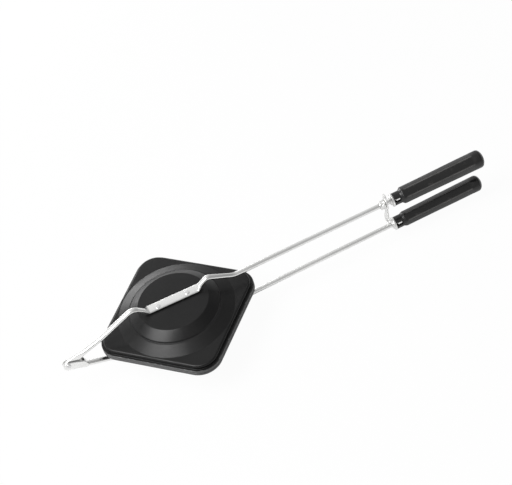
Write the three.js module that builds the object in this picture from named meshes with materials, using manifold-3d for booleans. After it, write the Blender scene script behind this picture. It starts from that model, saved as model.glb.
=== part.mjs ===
// Stovetop sandwich toaster: two square dished pans on long wire handles, hinged at the far end.
// Millimetres, +Z up. +X runs from the hinge to the grips, and the pans meet edge to edge.
// The lower half is the upper one turned over, apart from its fork and where its grip sits.
// The origin is under the middle of the lower handle's flat, the part that is held over a burner.
import * as THREE from 'three';
import { mergeVertices } from 'three/addons/utils/BufferGeometryUtils.js';
import Module from 'manifold-3d';

const wasm = await Module();
wasm.setup();

// Pans: pressed dishes that stand corner-on to the handles.
const PAN_SIDE = 130;
const PAN_CORNER_R = 22;
const PAN_WALL = 1.8;
const RIM_GAP = 0.3;
const FLANGE_Z = 7.8;
const FOOT_R = 60.2;
const LEDGE_R = 47.8;
const STEP_R = 46.2;
const DISC_R = 36.4;
const LEDGE_Z = 13.6;
const STEP_Z = 15.3;
const DISC_Z = 22;

// Handles: round wire, pressed flat where it is riveted to the pan.
const WIRE_R = 2.5;
const ROD_FRONT_X = 65.4;
const ROD_FRONT_Z = 18.1;
const ROD_LEAN = 0.4;
const FLAT_HALF_WIDTH = 4;
const FLAT_HALF_THICK = 1.3;
const FLAT_GAP = 0.3;
const FLAT_Z = DISC_Z + FLAT_GAP + FLAT_HALF_THICK;
const FLAT_FRONT_X = 26.6;
const FLAT_REAR_X = -26.5;
const FLAT_STATIONS = [12.4, 4, -12.4];
const WIRE_IN_GRIP = 55;

// Hinge at the far end: an eye on the upper wire turns in a fork on the lower one.
// The pin sits on the upper wire's line, so it is a little above the plane where the pans meet.
const HINGE_X = -120.2;
const HINGE_SLOPE = 18.6;
const REAR_BEND_X = -78;
const REAR_BEND_Z = 16.7;
const HINGE_LIFT = 2.45;
const HINGE_DROP = (REAR_BEND_X - HINGE_X) * Math.tan(HINGE_SLOPE * Math.PI / 180);
const HINGE_Z = REAR_BEND_Z + HINGE_LIFT - HINGE_DROP;
const EYE_R = 4.1;
const EYE_HALF_THICK = 1.5;
const FORK_R = 5;
const FORK_INNER = 1.95;
const FORK_OUTER = 3.25;
const FORK_LENGTH = 21;
const HINGE_PIN_R = 1.5;
const HINGE_HEAD_R = 2.4;
const PIN_GAP = 0.3;

// Rivets through each flat and the top of its pan.
const RIVET_X = 16;
const RIVET_R = 1.7;
const RIVET_HEAD_R = 4;

// Grips: six-sided mouldings with a slotted neck, closed by a cap.
const UPPER_NECK_X = 244.5;
const LOWER_NECK_X = 240.8;
const UPPER_GRIP_LENGTH = 98.5;
const LOWER_GRIP_LENGTH = 95;
const NECK_R = 6.6;
const NECK_LENGTH = 7.5;
const GRIP_APOTHEM = 7.7;
const GRIP_END_APOTHEM = 8.1;
const GRIP_CORNER_R = 2.6;
const GRIP_END_R = 9;
const GRIP_TURN = 23;
const SLOT_WIDTH = 4;
const SLOT_LENGTH = 7.2;
const CROSS_PIN_R = 1.2;
const CROSS_PIN_AT = 4.6;
const CAP_SPIGOT_R = 4.5;
const CAP_SPIGOT_LENGTH = 8;
const FERRULE_LENGTH = 3.6;

// Latch: a plate that hangs on the upper wire and hooks the lower one from the side.
const LATCH_X = 235.4;
const LATCH_THICK = 1.4;
const LATCH_REST_TURN = 11.5;
const LATCH_BOSS_R = 6.2;
const LATCH_HALF_WIDTH = 3.5;
const LATCH_SLOT_R = 2.9;
const LATCH_LIP = 2.7;
const LATCH_THUMB = 15.2;
const COLLAR_R = 4.6;
const COLLAR_LENGTH = 5.6;

const rad = THREE.MathUtils.degToRad;

// Height of the upper rod's centre line. The two rods lean towards each other a little.
function rodZ(x) {
  return ROD_FRONT_Z - (x - ROD_FRONT_X) * Math.tan(rad(ROD_LEAN));
}

const coating = { color: 0x1d1d1e, roughness: 0.42, metalness: 0.35 };
const plated = { color: 0xd2d2cf, roughness: 0.25, metalness: 1 };
const sheetSteel = { color: 0xc4c5c6, roughness: 0.35, metalness: 1 };
const rivetMetal = { color: 0xb9babb, roughness: 0.4, metalness: 1 };
const phenolic = { color: 0x161617, roughness: 0.38, metalness: 0 };

// Solids.

// A closed geometry becomes a solid that can be joined or cut.
function solidOf(geometry) {
  const bare = geometry.index ? geometry.toNonIndexed() : geometry.clone();
  bare.deleteAttribute('normal');
  bare.deleteAttribute('uv');
  const merged = mergeVertices(bare, 1e-4);
  const mesh = new wasm.Mesh({
    numProp: 3,
    vertProperties: new Float32Array(merged.attributes.position.array),
    triVerts: new Uint32Array(merged.index.array),
  });
  return new wasm.Manifold(mesh);
}

function geometryOf(solid) {
  const mesh = solid.getMesh();
  const geometry = new THREE.BufferGeometry();
  geometry.setAttribute('position', new THREE.BufferAttribute(new Float32Array(mesh.vertProperties), 3));
  geometry.setIndex(new THREE.BufferAttribute(new Uint32Array(mesh.triVerts), 1));
  geometry.computeVertexNormals();
  return geometry;
}

function cut(geometry, ...tools) {
  let solid = solidOf(geometry);
  for (const tool of tools) {
    solid = solid.subtract(solidOf(tool));
  }
  return geometryOf(solid);
}

function join(geometry, ...others) {
  let solid = solidOf(geometry);
  for (const other of others) {
    solid = solid.add(solidOf(other));
  }
  return geometryOf(solid);
}

// Skins equal rings of points into one body. Each end closes on its middle point.
function loft(rings) {
  const count = rings[0].length;
  const positions = [];
  const index = [];
  for (const ring of rings) {
    for (const point of ring) {
      positions.push(point.x, point.y, point.z);
    }
  }
  for (let k = 0; k + 1 < rings.length; k++) {
    for (let i = 0; i < count; i++) {
      const a = k * count + i;
      const b = k * count + ((i + 1) % count);
      index.push(a, b, b + count, a, b + count, a + count);
    }
  }
  for (const [k, flip] of [[0, true], [rings.length - 1, false]]) {
    const middle = new THREE.Vector3();
    for (const point of rings[k]) {
      middle.addScaledVector(point, 1 / count);
    }
    const centre = positions.length / 3;
    positions.push(middle.x, middle.y, middle.z);
    for (let i = 0; i < count; i++) {
      const a = k * count + i;
      const b = k * count + ((i + 1) % count);
      index.push(...(flip ? [centre, b, a] : [centre, a, b]));
    }
  }
  const geometry = new THREE.BufferGeometry();
  geometry.setAttribute('position', new THREE.Float32BufferAttribute(positions, 3));
  geometry.setIndex(index);
  return geometry;
}

// A round rod centred on a point, along a direction.
function rod(radius, length, centre, direction, sides = 16) {
  const geometry = new THREE.CylinderGeometry(radius, radius, length, sides);
  const turn = new THREE.Quaternion().setFromUnitVectors(new THREE.Vector3(0, 1, 0), direction);
  geometry.applyQuaternion(turn);
  geometry.translate(centre.x, centre.y, centre.z);
  return geometry;
}

// A profile of [radius, height] pairs turned about an axis that starts at a point.
function turned(profile, base, direction, sides = 24) {
  const points = profile.map(([radius, height]) => new THREE.Vector2(radius, height));
  const geometry = new THREE.LatheGeometry(points, sides);
  const turn = new THREE.Quaternion().setFromUnitVectors(new THREE.Vector3(0, 1, 0), direction);
  geometry.applyQuaternion(turn);
  geometry.translate(base.x, base.y, base.z);
  return geometry;
}

// A shape drawn in the XZ plane, given its thickness from one y to another.
function plateXZ(shape, fromY, toY, curveSegments = 10) {
  const geometry = new THREE.ExtrudeGeometry(shape, {
    depth: toY - fromY, bevelEnabled: false, curveSegments,
  });
  geometry.rotateX(Math.PI / 2);
  geometry.translate(0, toY, 0);
  return geometry;
}

const X = new THREE.Vector3(1, 0, 0);
const Y = new THREE.Vector3(0, 1, 0);
const Z = new THREE.Vector3(0, 0, 1);

// Turns a geometry of the upper half over, about the line where the pans meet.
function turnedOver(geometry) {
  return geometry.clone().rotateX(Math.PI);
}

// The pans.

const SIDE_STEPS = 8;
const ARC_STEPS = 8;

// One ring of a square with round corners, on the diagonal, at one height.
// All its outlines keep the same corner centres, so every ring has the same steps.
function squareRing(halfSide, z) {
  const cornerR = PAN_CORNER_R - (PAN_SIDE / 2 - halfSide);
  const straight = halfSide - cornerR;
  const ring = [];
  for (let quarter = 0; quarter < 4; quarter++) {
    const turn = quarter * Math.PI / 2 + Math.PI / 4;
    const flat = [];
    for (let i = 0; i < SIDE_STEPS / 2; i++) {
      flat.push([halfSide, straight * i / (SIDE_STEPS / 2)]);
    }
    for (let i = 0; i < ARC_STEPS; i++) {
      const angle = i / ARC_STEPS * Math.PI / 2;
      flat.push([straight + cornerR * Math.cos(angle), straight + cornerR * Math.sin(angle)]);
    }
    for (let i = 0; i < SIDE_STEPS / 2; i++) {
      flat.push([straight * (1 - i / (SIDE_STEPS / 2)), halfSide]);
    }
    for (const [u, v] of flat) {
      const x = u * Math.cos(turn) - v * Math.sin(turn);
      const y = u * Math.sin(turn) + v * Math.cos(turn);
      ring.push(new THREE.Vector3(x, y, z));
    }
  }
  return ring;
}

const bearings = squareRing(PAN_SIDE / 2, 0).map((point) => Math.atan2(point.y, point.x));

function roundRing(radius, z) {
  return bearings.map((angle) => new THREE.Vector3(radius * Math.cos(angle), radius * Math.sin(angle), z));
}

// The upper pan: a flat disc on a stepped dome, a narrow flange, a wall and a rolled rim.
function panGeometry() {
  const half = PAN_SIDE / 2;
  const rimZ = RIM_GAP / 2;
  const inner = (z) => z - PAN_WALL;
  const rings = [
    // inside, from the middle of the bowl out to the rim
    roundRing(DISC_R - 2.2, inner(DISC_Z)),
    roundRing(DISC_R - 0.6, inner(DISC_Z) - 0.6),
    roundRing(STEP_R - 1.2, inner(STEP_Z) - 0.3),
    roundRing(LEDGE_R - 1, inner(LEDGE_Z)),
    roundRing(FOOT_R - 2.6, inner(FLANGE_Z) + 0.6),
    roundRing(FOOT_R - 1.2, inner(FLANGE_Z)),
    squareRing(half - 5.4, inner(FLANGE_Z)),
    squareRing(half - 4.4, inner(FLANGE_Z) - 0.4),
    squareRing(half - 3.9, inner(FLANGE_Z) - 1.4),
    squareRing(half - 3.3, rimZ),
    // rolled rim
    squareRing(half - 1.1, rimZ),
    squareRing(half - 0.3, 0.7),
    squareRing(half, 1.7),
    squareRing(half - 0.2, 3.1),
    squareRing(half - 0.9, 3.9),
    squareRing(half - 1.7, 4.2),
    // wall, bend and flange
    squareRing(half - 2.3, FLANGE_Z - 1.5),
    squareRing(half - 2.8, FLANGE_Z - 0.5),
    squareRing(half - 3.9, FLANGE_Z),
    roundRing(FOOT_R + 0.6, FLANGE_Z),
    roundRing(FOOT_R - 1.2, FLANGE_Z + 0.6),
    // stepped dome
    roundRing(LEDGE_R + 0.4, LEDGE_Z - 0.3),
    roundRing(LEDGE_R - 0.5, LEDGE_Z),
    roundRing(STEP_R + 0.4, LEDGE_Z + 0.3),
    roundRing(STEP_R - 0.2, STEP_Z),
    roundRing(DISC_R + 0.9, DISC_Z - 1),
    roundRing(DISC_R, DISC_Z - 0.3),
    roundRing(DISC_R - 1, DISC_Z),
  ];
  const holes = [RIVET_X, -RIVET_X].map((x) => (
    rod(RIVET_R + 0.3, 10, new THREE.Vector3(x, 0, DISC_Z), Z)
  ));
  return cut(loft(rings), ...holes);
}

// The handle wires.

// Corners of the wire's centre line, from the grip to the hinge, each with its bend radius.
// The lift raises the hinge end: it is positive on the upper wire and negative on the lower one,
// which is drawn the same way up and then turned over.
function wireCorners(endX, lift) {
  return [
    { x: endX, z: rodZ(endX), bend: 0 },
    { x: ROD_FRONT_X, z: ROD_FRONT_Z, bend: 14 },
    { x: 39.3, z: 32.4, bend: 5 },
    { x: FLAT_FRONT_X, z: FLAT_Z, bend: 3.5 },
    ...FLAT_STATIONS.map((x) => ({ x, z: FLAT_Z, bend: 0 })),
    { x: FLAT_REAR_X, z: FLAT_Z, bend: 3.5 },
    { x: -40.8, z: 36.8, bend: 9 },
    { x: REAR_BEND_X, z: REAR_BEND_Z + lift, bend: 18 },
    { x: HINGE_X, z: REAR_BEND_Z + lift - HINGE_DROP, bend: 0 },
  ];
}

// Walks the corners and rounds each one with an arc of its bend radius.
function roundedLine(corners) {
  const stops = [];
  const point = (c) => new THREE.Vector2(c.x, c.z);
  for (let i = 0; i < corners.length; i++) {
    const here = point(corners[i]);
    if (corners[i].bend === 0) {
      stops.push(here);
      continue;
    }
    const back = point(corners[i - 1]).sub(here).normalize();
    const on = point(corners[i + 1]).sub(here).normalize();
    const half = Math.acos(back.dot(on)) / 2;
    const reach = corners[i].bend / Math.tan(half);
    const centre = back.clone().add(on).normalize().multiplyScalar(corners[i].bend / Math.sin(half)).add(here);
    const start = here.clone().addScaledVector(back, reach).sub(centre);
    const end = here.clone().addScaledVector(on, reach).sub(centre);
    const turn = Math.atan2(start.cross(end), start.dot(end));
    const steps = Math.max(3, Math.ceil(Math.abs(turn) / rad(12)));
    for (let k = 0; k <= steps; k++) {
      stops.push(start.clone().rotateAround(new THREE.Vector2(), turn * k / steps).add(centre));
    }
  }
  return stops;
}

// Half width, half height and corner radius of the wire's section at a place on its line.
const ROUND = { a: WIRE_R, b: WIRE_R, r: WIRE_R };
const FLAT = { a: FLAT_HALF_WIDTH, b: FLAT_HALF_THICK, r: 0.8 };
const TONGUE = { a: EYE_HALF_THICK, b: EYE_R - 0.2, r: 0.9 };

function blend(one, other, t) {
  const s = Math.min(1, Math.max(0, t));
  return {
    a: one.a + (other.a - one.a) * s,
    b: one.b + (other.b - one.b) * s,
    r: one.r + (other.r - one.r) * s,
  };
}

// Twelve points of a rectangle with round corners, which is a circle when all three sizes agree.
function sectionRing(at, along, section) {
  const up = new THREE.Vector2(-along.y, along.x);
  const ring = [];
  for (let corner = 0; corner < 4; corner++) {
    for (const step of [15, 45, 75]) {
      const angle = rad(corner * 90 + step);
      const signY = Math.sign(Math.cos(rad(corner * 90 + 45)));
      const signN = Math.sign(Math.sin(rad(corner * 90 + 45)));
      const y = signY * (section.a - section.r) + section.r * Math.cos(angle);
      const n = signN * (section.b - section.r) + section.r * Math.sin(angle);
      ring.push(new THREE.Vector3(at.x + up.x * n, y, at.y + up.y * n));
    }
  }
  return ring;
}

// The wire of the upper half, with its flat and, if asked for, its pressed tongue.
function wireGeometry(endX, lift, withTongue) {
  const stops = roundedLine(wireCorners(endX, lift));
  const line = [];
  for (let i = 0; i < stops.length; i++) {
    line.push(stops[i]);
    const next = stops[i + 1];
    if (!next) {
      continue;
    }
    const span = stops[i].distanceTo(next);
    if (withTongue && next.x === HINGE_X) {
      for (const reach of [20, 15, 10]) {
        line.push(next.clone().lerp(stops[i], reach / span));
      }
    }
  }
  const rings = line.map((p, i) => {
    const before = line[Math.max(0, i - 1)];
    const after = line[Math.min(line.length - 1, i + 1)];
    const along = after.clone().sub(before).normalize();
    let section = ROUND;
    if (Math.abs(p.x) < 13) {
      const wider = p.x === FLAT_STATIONS[1] ? 0.15 : 0.05;
      section = { ...FLAT, a: FLAT.a + wider };
    } else if (Math.abs(p.x) < 34) {
      section = blend(FLAT, ROUND, (p.y - FLAT_Z) / 2.4);
    } else if (withTongue && p.x < -90) {
      const toHinge = Math.hypot(p.x - HINGE_X, p.y - HINGE_Z);
      section = blend(ROUND, TONGUE, (20 - toHinge) / 10);
    }
    return sectionRing(p, along, section);
  });
  return loft(rings);
}

const hingePoint = new THREE.Vector3(HINGE_X, 0, HINGE_Z);

function rivetHoles() {
  return [RIVET_X, -RIVET_X].map((x) => (
    rod(RIVET_R + 0.3, 8, new THREE.Vector3(x, 0, FLAT_Z), Z)
  ));
}

// The hole in the wire for the grip's cross pin.
function crossPinHole(neckX) {
  const x = neckX + CROSS_PIN_AT;
  const centre = new THREE.Vector3(x, 0, rodZ(x));
  return rod(CROSS_PIN_R + 0.3, 10, centre, slotDirection(GRIP_TURN), 12);
}

// Direction of a grip's slot, turned up from -Y by an angle.
function slotDirection(turn) {
  return new THREE.Vector3(0, -Math.cos(rad(turn)), Math.sin(rad(turn)));
}

function upperWireGeometry() {
  const eye = rod(EYE_R, 2 * EYE_HALF_THICK, hingePoint, Y, 24);
  const bore = rod(HINGE_PIN_R + PIN_GAP, 10, hingePoint, Y, 24);
  const wire = join(wireGeometry(UPPER_NECK_X + WIRE_IN_GRIP, HINGE_LIFT, true), eye);
  return cut(wire, bore, crossPinHole(UPPER_NECK_X), ...rivetHoles());
}

// The fork: a pressed trough along the end of the lower wire, open to the upper one.
// Its outline is drawn about the pin, with x along the wire and y away from the upper wire.
function forkGeometry() {
  const wireOffset = 2 * HINGE_LIFT * Math.cos(rad(HINGE_SLOPE));
  const outline = new THREE.Shape();
  outline.absarc(0, 1, FORK_R, rad(90), rad(270), false);
  outline.lineTo(6.6, -3.7);
  outline.lineTo(17, -2.2);
  outline.lineTo(FORK_LENGTH, wireOffset - WIRE_R * 0.9);
  outline.lineTo(FORK_LENGTH, wireOffset + WIRE_R * 0.8);
  outline.lineTo(13, FORK_R + 1.3);
  const pocket = new THREE.Shape();
  pocket.moveTo(-9, -12);
  pocket.lineTo(FORK_LENGTH - 2.5, -12);
  pocket.lineTo(FORK_LENGTH - 4.5, wireOffset - 2.8);
  pocket.lineTo(7, EYE_R + 0.4);
  pocket.lineTo(5.6, 12);
  pocket.lineTo(-9, 12);
  const bore = rod(HINGE_PIN_R + PIN_GAP, 10, new THREE.Vector3(), Y, 24);
  const trough = cut(
    plateXZ(outline, -FORK_OUTER, FORK_OUTER),
    plateXZ(pocket, -FORK_INNER, FORK_INNER),
    bore,
  );
  trough.rotateY(-rad(HINGE_SLOPE));
  trough.translate(HINGE_X, 0, -HINGE_Z);
  return trough;
}

function lowerWireGeometry() {
  const straight = wireGeometry(LOWER_NECK_X + WIRE_IN_GRIP, -HINGE_LIFT, false);
  const slope = rad(HINGE_SLOPE);
  const reach = FORK_LENGTH - 4;
  const trim = new THREE.BoxGeometry(60, 20, 30);
  trim.translate(reach - 30, 0, 0);
  trim.rotateY(-slope);
  trim.translate(HINGE_X, 0, -HINGE_Z);
  const wire = join(cut(straight, trim), forkGeometry());
  const holes = [crossPinHole(LOWER_NECK_X), ...rivetHoles()];
  return turnedOver(cut(wire, ...holes));
}

// The hinge pin and the rivets.

function hingePinGeometry() {
  const head = FORK_OUTER + 0.3;
  const profile = [
    [0, -head - 1],
    [HINGE_HEAD_R - 1, -head - 0.85],
    [HINGE_HEAD_R - 0.3, -head - 0.5],
    [HINGE_HEAD_R, -head],
    [HINGE_PIN_R, -head],
    [HINGE_PIN_R, head],
    [HINGE_HEAD_R, head],
    [HINGE_HEAD_R - 0.3, head + 0.5],
    [HINGE_HEAD_R - 1, head + 0.85],
    [0, head + 1],
  ];
  return turned(profile, hingePoint, Y, 20);
}

// A rivet has its broad head inside the pan and is upset low over the flat.
function rivetGeometry(x) {
  const inside = DISC_Z - PAN_WALL - 0.3;
  const outside = FLAT_Z + FLAT_HALF_THICK + 0.3;
  const profile = [
    [0, inside - 1.3],
    [RIVET_HEAD_R - 1.6, inside - 1.1],
    [RIVET_HEAD_R - 0.3, inside - 0.5],
    [RIVET_HEAD_R, inside],
    [RIVET_R, inside],
    [RIVET_R, outside],
    [2.7, outside],
    [2.3, outside + 0.35],
    [0, outside + 0.5],
  ];
  return turned(profile, new THREE.Vector3(x, 0, 0), Z, 16);
}

// The grips.

// One ring of a grip: a hexagon of some apothem with corners of some radius, first corner on the slot.
function gripRing(at, apothem, cornerR) {
  const reach = (apothem - cornerR) / Math.cos(rad(30));
  const ring = [];
  for (let corner = 0; corner < 6; corner++) {
    for (const step of [-20, 0, 20]) {
      const angle = rad(corner * 60 + step);
      const y = reach * Math.cos(rad(corner * 60)) + cornerR * Math.cos(angle);
      const z = reach * Math.sin(rad(corner * 60)) + cornerR * Math.sin(angle);
      ring.push(new THREE.Vector3(at, y, z));
    }
  }
  return ring;
}

// The grip along +X from its neck face, with its slot on the Y axis.
function gripGeometry(length) {
  const round = (at, radius) => gripRing(at, radius, radius);
  const body = loft([
    round(0, NECK_R - 0.6),
    round(0.7, NECK_R),
    round(NECK_LENGTH - 0.4, NECK_R),
    gripRing(NECK_LENGTH + 0.9, GRIP_APOTHEM - 0.6, 5),
    gripRing(NECK_LENGTH + 3.4, GRIP_APOTHEM - 0.1, GRIP_CORNER_R + 0.6),
    gripRing(length * 0.3, GRIP_APOTHEM, GRIP_CORNER_R),
    gripRing(length - 9, GRIP_END_APOTHEM, GRIP_CORNER_R + 0.3),
    gripRing(length - 5.5, GRIP_END_R - 0.6, 5),
    round(length - 2.8, GRIP_END_R - 0.05),
    round(length - 0.5, GRIP_END_R),
    round(length, GRIP_END_R - 0.5),
  ]);
  const bore = rod(WIRE_R + 0.3, 2 * (WIRE_IN_GRIP + 2), new THREE.Vector3(), X, 16);
  const slot = new THREE.BoxGeometry(2 * SLOT_LENGTH - SLOT_WIDTH, 20, SLOT_WIDTH);
  const slotEnd = rod(SLOT_WIDTH / 2, 20, new THREE.Vector3(SLOT_LENGTH - SLOT_WIDTH / 2, 0, 0), Y, 16);
  const socketLength = CAP_SPIGOT_LENGTH + 1;
  const socketAt = new THREE.Vector3(length, 0, 0);
  const socket = rod(CAP_SPIGOT_R + 0.3, 2 * socketLength, socketAt, X, 20);
  return cut(body, bore, slot, slotEnd, socket);
}

function capGeometry(length) {
  const top = 0.3;
  const profile = [
    [0, -CAP_SPIGOT_LENGTH],
    [CAP_SPIGOT_R - 0.6, -CAP_SPIGOT_LENGTH],
    [CAP_SPIGOT_R, -CAP_SPIGOT_LENGTH + 0.8],
    [CAP_SPIGOT_R, top],
    [GRIP_END_R - 0.5, top],
    [GRIP_END_R, top + 0.5],
    [GRIP_END_R - 0.2, top + 1.1],
    [GRIP_END_R - 1.4, top + 2.2],
    [GRIP_END_R - 3.6, top + 3.1],
    [0, top + 3.7],
  ];
  return turned(profile, new THREE.Vector3(length, 0, 0), X, 20);
}

// A stepped sheet cup that closes the neck of a grip.
function ferruleGeometry() {
  const bore = WIRE_R + 0.3;
  const profile = [
    [bore, -FERRULE_LENGTH],
    [NECK_R - 2, -FERRULE_LENGTH],
    [NECK_R - 1.4, -FERRULE_LENGTH + 0.5],
    [NECK_R - 0.4, -2.2],
    [NECK_R + 0.3, -1.7],
    [NECK_R + 0.3, -0.3],
    [bore, -0.3],
    [bore, -FERRULE_LENGTH],
  ];
  return turned(profile, new THREE.Vector3(), X, 20);
}

function crossPinGeometry() {
  return rod(CROSS_PIN_R, 2 * (NECK_R - 0.3), new THREE.Vector3(CROSS_PIN_AT, 0, 0), Y, 12);
}

// The latch.

// A ring pressed on to the wire beside the latch, with one crimp mark towards the front.
function collarGeometry() {
  const bore = WIRE_R + 0.3;
  const profile = [
    [bore, 0],
    [COLLAR_R - 0.6, 0],
    [COLLAR_R, 0.6],
    [COLLAR_R, COLLAR_LENGTH - 0.6],
    [COLLAR_R - 0.6, COLLAR_LENGTH],
    [bore, COLLAR_LENGTH],
    [bore, 0],
  ];
  const ring = turned(profile, new THREE.Vector3(), X, 20);
  const mark = new THREE.SphereGeometry(1.6, 10, 6);
  const facing = slotDirection(45).multiplyScalar(COLLAR_R + 0.5);
  mark.translate(COLLAR_LENGTH / 2, facing.y, facing.z);
  return cut(ring, mark);
}

// The plate as it hangs when hooked, drawn in the YZ plane with the upper wire at its origin.
function latchGeometry() {
  const w = LATCH_HALF_WIDTH;
  const drop = 2 * rodZ(LATCH_X);
  const bossAngle = Math.acos(w / LATCH_BOSS_R);
  const lipTop = -drop + LATCH_SLOT_R;
  const lipBottom = -drop - LATCH_SLOT_R;
  const lowest = lipBottom - LATCH_LIP;
  const plate = new THREE.Shape();
  plate.moveTo(w, LATCH_THUMB - w);
  plate.absarc(0, LATCH_THUMB - w, w, 0, Math.PI, false);
  plate.absarc(0, 0, LATCH_BOSS_R, Math.PI - bossAngle, Math.PI + bossAngle, false);
  plate.lineTo(-w, lipTop + 2.4);
  plate.quadraticCurveTo(-w, lipTop + 0.4, -w + 1, lipTop);
  plate.lineTo(0, lipTop);
  plate.absarc(0, -drop, LATCH_SLOT_R, Math.PI / 2, -Math.PI / 2, true);
  plate.lineTo(-w + 1, lipBottom);
  plate.quadraticCurveTo(-w, lipBottom - 0.4, -w, lipBottom - 1.2);
  plate.quadraticCurveTo(-w, lowest, -w + 1.6, lowest);
  plate.lineTo(w - 0.5, lowest);
  plate.quadraticCurveTo(w + 2.6, lowest, w + 2.8, -drop);
  plate.quadraticCurveTo(w + 2.6, lipTop + 5, w, lipTop + 9);
  plate.absarc(0, 0, LATCH_BOSS_R, -bossAngle, bossAngle, false);
  const bore = new THREE.Path();
  bore.absarc(0, 0, WIRE_R + 0.35, 0, 2 * Math.PI, true);
  plate.holes.push(bore);
  const geometry = new THREE.ExtrudeGeometry(plate, {
    depth: LATCH_THICK, bevelEnabled: false, curveSegments: 8,
  });
  const standUp = new THREE.Matrix4().makeBasis(Y, Z, X);
  geometry.applyMatrix4(standUp);
  return geometry;
}

// The assembly.

const toaster = new THREE.Group();
// Lifts the model so that the flat under the lower pan lies at height zero.
const flatFace = FLAT_HALF_THICK - FLAT.r * (1 - Math.sin(rad(75)));
toaster.position.z = FLAT_Z + flatFace;

function add(name, geometry, finish, parent = toaster) {
  const mesh = new THREE.Mesh(geometry, new THREE.MeshStandardMaterial(finish));
  mesh.name = name;
  parent.add(mesh);
  return mesh;
}

const pan = panGeometry();
add('upper_pan', pan, coating);
add('lower_pan', turnedOver(pan), coating);
add('upper_wire', upperWireGeometry(), plated);
add('lower_wire', lowerWireGeometry(), plated);
add('hinge_pin', hingePinGeometry(), rivetMetal);
for (const [name, x] of [['front', RIVET_X], ['rear', -RIVET_X]]) {
  add(`upper_rivet_${name}`, rivetGeometry(x), rivetMetal);
  add(`lower_rivet_${name}`, turnedOver(rivetGeometry(x)), rivetMetal);
}

// A place on a rod, turned about the rod and leaning with it. The side is 1 above and -1 below.
function placeOnRod(x, side, turn) {
  const place = new THREE.Group();
  place.position.set(x, 0, side * rodZ(x));
  place.rotation.order = 'YXZ';
  place.rotation.y = side * rad(ROD_LEAN);
  place.rotation.x = -rad(turn);
  toaster.add(place);
  return place;
}

const halves = [
  { name: 'upper', side: 1, neckX: UPPER_NECK_X, length: UPPER_GRIP_LENGTH },
  { name: 'lower', side: -1, neckX: LOWER_NECK_X, length: LOWER_GRIP_LENGTH },
];
for (const { name, side, neckX, length } of halves) {
  const handle = placeOnRod(neckX, side, GRIP_TURN);
  add(`${name}_grip`, gripGeometry(length), phenolic, handle);
  add(`${name}_grip_cap`, capGeometry(length), phenolic, handle);
  add(`${name}_ferrule`, ferruleGeometry(), sheetSteel, handle);
  add(`${name}_cross_pin`, crossPinGeometry(), plated, handle);
}

add('latch_collar', collarGeometry(), sheetSteel, placeOnRod(LATCH_X - COLLAR_LENGTH - 0.4, 1, 0));
const latch = add('latch', latchGeometry(), sheetSteel);
latch.position.set(LATCH_X, 0, rodZ(LATCH_X));
latch.rotation.x = rad(LATCH_REST_TURN);

export default toaster;
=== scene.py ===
import math

import bpy
import numpy as np
from mathutils import Matrix, Vector


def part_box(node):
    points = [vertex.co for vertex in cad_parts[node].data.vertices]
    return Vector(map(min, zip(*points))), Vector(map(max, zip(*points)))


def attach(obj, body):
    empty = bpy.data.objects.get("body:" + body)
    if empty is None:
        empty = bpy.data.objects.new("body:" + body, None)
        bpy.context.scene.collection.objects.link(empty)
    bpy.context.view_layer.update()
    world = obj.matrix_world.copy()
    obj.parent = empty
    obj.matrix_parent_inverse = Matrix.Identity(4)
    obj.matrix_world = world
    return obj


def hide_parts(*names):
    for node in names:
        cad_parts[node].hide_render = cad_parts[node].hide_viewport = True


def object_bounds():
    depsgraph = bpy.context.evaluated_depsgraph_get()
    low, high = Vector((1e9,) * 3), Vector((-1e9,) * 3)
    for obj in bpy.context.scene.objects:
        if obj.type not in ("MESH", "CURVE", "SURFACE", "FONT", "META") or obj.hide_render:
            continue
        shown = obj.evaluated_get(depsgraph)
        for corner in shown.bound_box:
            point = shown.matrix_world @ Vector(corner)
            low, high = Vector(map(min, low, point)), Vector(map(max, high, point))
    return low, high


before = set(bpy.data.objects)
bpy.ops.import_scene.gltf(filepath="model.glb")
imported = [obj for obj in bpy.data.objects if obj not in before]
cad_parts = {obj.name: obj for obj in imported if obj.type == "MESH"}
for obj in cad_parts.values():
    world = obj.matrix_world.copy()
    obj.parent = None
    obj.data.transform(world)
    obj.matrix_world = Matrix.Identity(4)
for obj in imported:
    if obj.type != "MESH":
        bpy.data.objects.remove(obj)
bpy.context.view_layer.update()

# The pans.
# Two pressings of aluminium sheet, one turned over on the other: a rolled rim, a short wall, a narrow
# flange, and a dome in two steps with a flat disc on top. Both sides have a black non-stick coating,
# which is rubbed thin on the rim and on the edges of the steps.
MM = 0.001
SEAM_Z = (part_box("upper_pan")[0].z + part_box("lower_pan")[1].z) / 2
SEAM_MM = SEAM_Z / MM
PAN_HALF = 65.0
CORNER_R = 22.0
DISC_R, DISC_Z = 36.4, 22.0
STEP_R, STEP_Z = 46.1, 15.3
LEDGE_R, LEDGE_Z = 48.2, 13.4
FOOT_R, FLANGE_Z = 60.1, 7.8
SHEET = 1.8
WALL_IN, ROLL, SEAM_GAP = 4.4, 3.1, 0.15
RIM_WEAR, STEP_WEAR, LIP_WIDE = 0.9, 0.5, 0.4


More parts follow.
